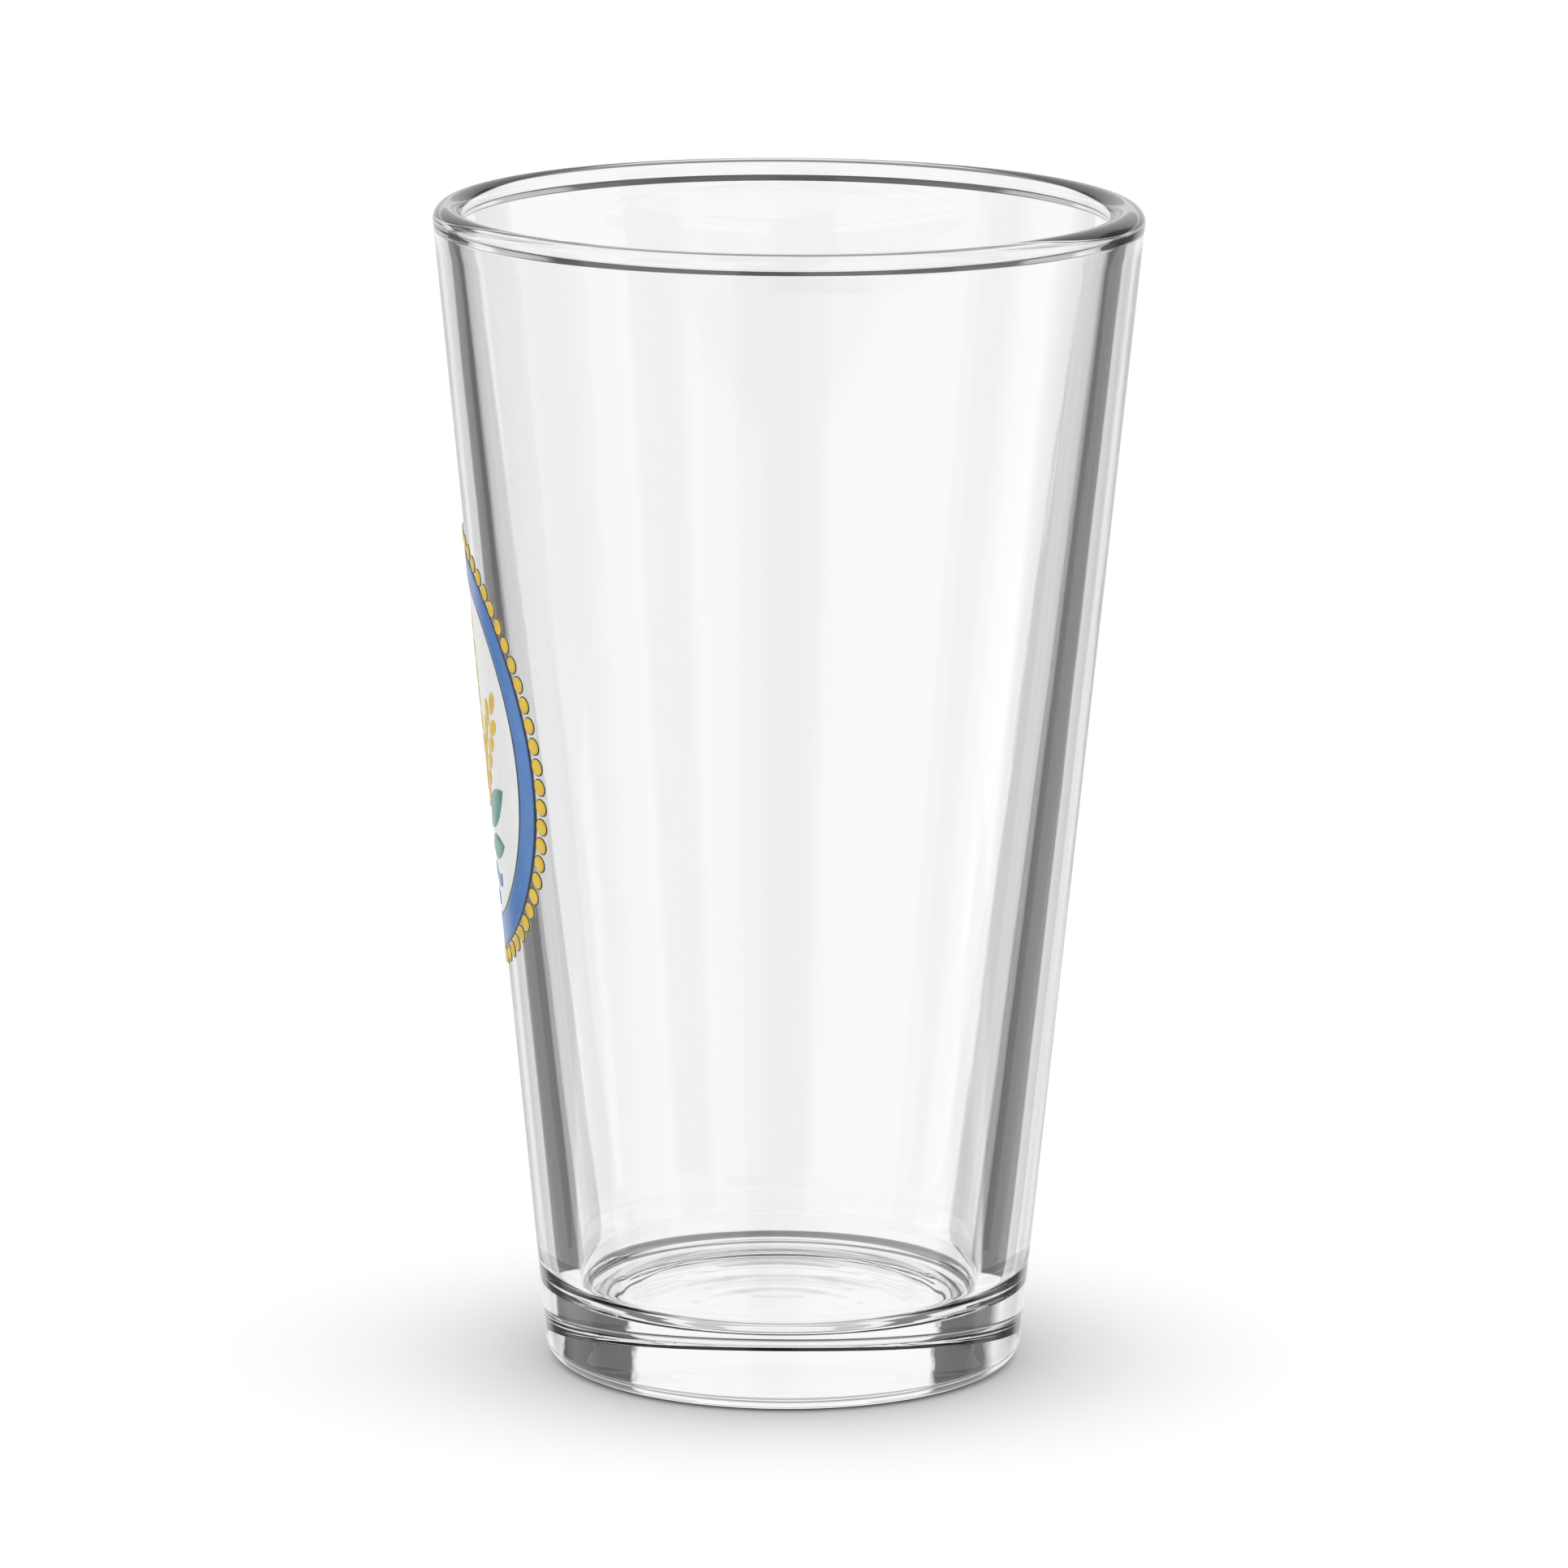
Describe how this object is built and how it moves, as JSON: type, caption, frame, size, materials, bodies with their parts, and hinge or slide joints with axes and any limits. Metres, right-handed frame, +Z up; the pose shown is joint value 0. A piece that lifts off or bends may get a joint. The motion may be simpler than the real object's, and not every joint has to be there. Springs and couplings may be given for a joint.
{
  "type": "pint glass",
  "caption": "Tapered straight-sided drinking glass with a thick clear foot, rounded rim and a printed oval badge of barley, leaves and water in a blue band with gold beads.",
  "frame": {"origin": "centre of the ring that the glass stands on, at the resting plane", "axes": "+Z up along the glass's axis of revolution; the middle of the printed badge faces -Y"},
  "size_m": [0.0886, 0.0886, 0.1472],
  "materials": {
    "glass": "clear colourless pressed soda-lime glass, fire polished",
    "ink_white": "opaque white glass ink under the colours, cured glossy",
    "ink_blue": "royal blue glass ink, cured glossy",
    "ink_dark": "near-black glass ink, fine lines",
    "ink_gold": "gold-yellow glass ink, cured glossy",
    "ink_green": "teal green glass ink, cured glossy"
  },
  "bodies": {
    "root": {"glass_body": "glass", "print_white_base": "ink_white", "print_blue_band": "ink_blue", "print_dark_lines": "ink_dark", "print_gold_beads": "ink_gold", "print_barley": "ink_gold", "print_leaves": "ink_green", "print_water": "ink_blue"}
  },
  "joints": []
}
